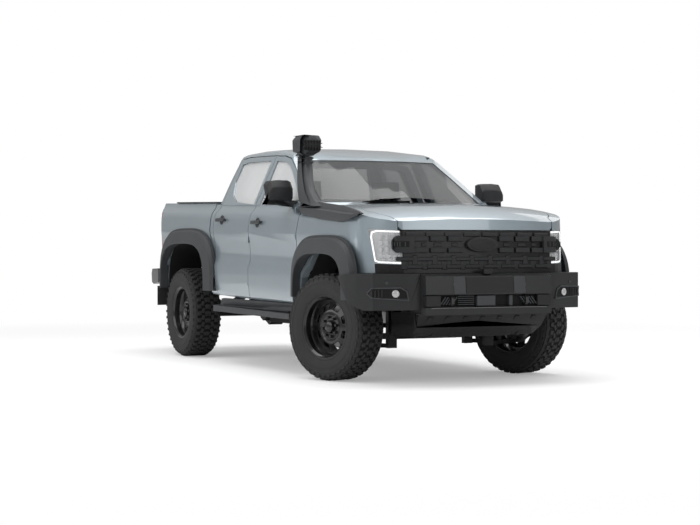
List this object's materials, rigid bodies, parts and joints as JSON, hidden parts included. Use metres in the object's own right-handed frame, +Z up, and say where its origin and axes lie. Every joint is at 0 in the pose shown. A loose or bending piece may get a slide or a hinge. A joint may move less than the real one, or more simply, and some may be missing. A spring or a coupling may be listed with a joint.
{
  "type": "lifted off-road 4x4",
  "caption": "Lifted dual-cab off-road 4x4 pickup with steering front wheels, opening doors, bonnet and tailgate, snorkel, steel bumper, side steps and tow bar.",
  "frame": {"origin": "on the ground, in the middle of the overall box's base", "axes": "+X towards the front bumper, +Y towards the vehicle's left side, +Z up"},
  "size_m": [5.4703, 2.216, 2.0978],
  "materials": {
    "body_paint": "light blue-grey metallic, gloss clear coat",
    "tyre": "matt",
    "wheel_black": "gloss black",
    "cast_iron": "rough casting",
    "chassis_black": "satin black",
    "raw_steel": "bare steel",
    "satin_plastic": "satin black",
    "tinted_glass": "light grey tint",
    "lamp_clear": "clear lens",
    "gloss_black": "gloss black",
    "textured_plastic": "fine grained grey-black",
    "lamp_red": "dark red lens",
    "bumper_black": "satin black powder coat",
    "soft_rubber": "matt",
    "bumper_grey": "satin grey",
    "seat_cloth": "dark cloth",
    "dash_plastic": "soft grained"
  },
  "bodies": {
    "vehicle": {"roof": "body_paint", "cab_frame": "body_paint", "fenders": "body_paint", "bed_body": "body_paint", "front_suspension": "chassis_black", "ladder_frame": "chassis_black", "engine_block": "cast_iron", "driveline": "raw_steel", "rear_springs": "chassis_black", "rear_axle": "chassis_black", "exhaust": "raw_steel", "fuel_tank": "satin_plastic", "skid_plate": "chassis_black", "cab_glass": "tinted_glass", "cab_floor": "chassis_black", "headlamps": "lamp_clear", "grille": "gloss_black", "front_flares": "textured_plastic", "rear_flares": "textured_plastic", "arch_liners": "satin_plastic", "tail_lamps": "lamp_red", "side_steps": "textured_plastic", "front_bumper": "bumper_black", "recovery_hooks": "raw_steel", "snorkel": "textured_plastic", "antenna": "satin_plastic", "mudflaps": "soft_rubber", "rear_bumper": "bumper_grey", "tow_bar": "chassis_black", "front_seats": "seat_cloth", "rear_seat": "seat_cloth", "dashboard": "dash_plastic"},
    "front_wheel_left": {"tyre_front_left": "tyre", "rim_front_left": "wheel_black"},
    "front_wheel_right": {"tyre_front_right": "tyre", "rim_front_right": "wheel_black"},
    "rear_wheel_left": {"tyre_rear_left": "tyre", "rim_rear_left": "wheel_black"},
    "rear_wheel_right": {"tyre_rear_right": "tyre", "rim_rear_right": "wheel_black"},
    "steering_knuckle_left": {"knuckle_left": "cast_iron"},
    "steering_knuckle_right": {"knuckle_right": "cast_iron"},
    "steering_rack": {"tie_rods": "chassis_black"},
    "driver_wheel": {"steering_wheel": "dash_plastic"},
    "bonnet": {"hood": "body_paint"},
    "tail_gate": {"tailgate": "body_paint"},
    "front_door_left_swing": {"front_door_left": "body_paint", "front_door_glass_left": "tinted_glass", "mirror_left": "textured_plastic"},
    "front_door_right_swing": {"front_door_right": "body_paint", "front_door_glass_right": "tinted_glass", "mirror_right": "textured_plastic"},
    "rear_door_left_swing": {"rear_door_left": "body_paint", "rear_door_glass_left": "tinted_glass"},
    "rear_door_right_swing": {"rear_door_right": "body_paint", "rear_door_glass_right": "tinted_glass"}
  },
  "joints": [
    {"name": "steer_right", "type": "hinge", "parent": "vehicle", "child": "steering_knuckle_right", "pos_m": [1.75, -0.785, 0.421], "axis": [0, 0, 1], "range_deg": [-51.4, 12.6]},
    {"name": "steer_left", "type": "hinge", "parent": "vehicle", "child": "steering_knuckle_left", "pos_m": [1.75, 0.785, 0.421], "axis": [0, 0, 1], "range_deg": [-51.4, 12.6]},
    {"name": "steering_wheel_turn", "type": "hinge", "parent": "vehicle", "child": "driver_wheel", "pos_m": [0.85638, -0.3854, 1.2267], "axis": [-0.9135, 0, 0.4067], "range_deg": [-775, 190]},
    {"name": "rack_slide", "type": "slide", "parent": "vehicle", "child": "steering_rack", "axis": [0, 1, 0], "range_m": [-0.031, 0.121]},
    {"name": "wheel_spin_front_right", "type": "hinge", "parent": "steering_knuckle_right", "child": "front_wheel_right", "pos_m": [1.77325, -0.85103, 0.421], "axis": [-0.3322, 0.9432, 0], "continuous": true},
    {"name": "wheel_spin_front_left", "type": "hinge", "parent": "steering_knuckle_left", "child": "front_wheel_left", "pos_m": [1.72675, 0.85103, 0.421], "axis": [-0.3322, 0.9432, 0], "continuous": true},
    {"name": "wheel_spin_rear_right", "type": "hinge", "parent": "vehicle", "child": "rear_wheel_right", "pos_m": [-1.52, -0.855, 0.421], "axis": [0, 1, 0], "continuous": true},
    {"name": "wheel_spin_rear_left", "type": "hinge", "parent": "vehicle", "child": "rear_wheel_left", "pos_m": [-1.52, 0.855, 0.421], "axis": [0, 1, 0], "continuous": true},
    {"name": "front_door_right_open", "type": "hinge", "parent": "vehicle", "child": "front_door_right_swing", "pos_m": [1.16009, -0.932, 1], "axis": [0, 0, 1], "range_deg": [0, 65]},
    {"name": "front_door_left_open", "type": "hinge", "parent": "vehicle", "child": "front_door_left_swing", "pos_m": [1.16009, 0.932, 1], "axis": [0, 0, -1], "range_deg": [0, 65]},
    {"name": "rear_door_right_open", "type": "hinge", "parent": "vehicle", "child": "rear_door_right_swing", "pos_m": [0.11009, -0.932, 1], "axis": [0, 0, 1], "range_deg": [0, 70]},
    {"name": "rear_door_left_open", "type": "hinge", "parent": "vehicle", "child": "rear_door_left_swing", "pos_m": [0.11009, 0.932, 1], "axis": [0, 0, -1], "range_deg": [0, 70]},
    {"name": "bonnet_open", "type": "hinge", "parent": "vehicle", "child": "bonnet", "pos_m": [1.423, 0, 1.36721], "axis": [0, -1, 0], "range_deg": [0, 50]},
    {"name": "tailgate_open", "type": "hinge", "parent": "vehicle", "child": "tail_gate", "pos_m": [-2.41009, 0, 0.90492], "axis": [0, -1, 0], "range_deg": [0, 88]}
  ],
  "couplings": [
    {"joint": "steer_left", "follows": "steer_right", "ratio": 1},
    {"joint": "steering_wheel_turn", "follows": "steer_right", "ratio": 15},
    {"joint": "rack_slide", "follows": "steer_right", "m_per_rad": -0.1309}
  ]
}
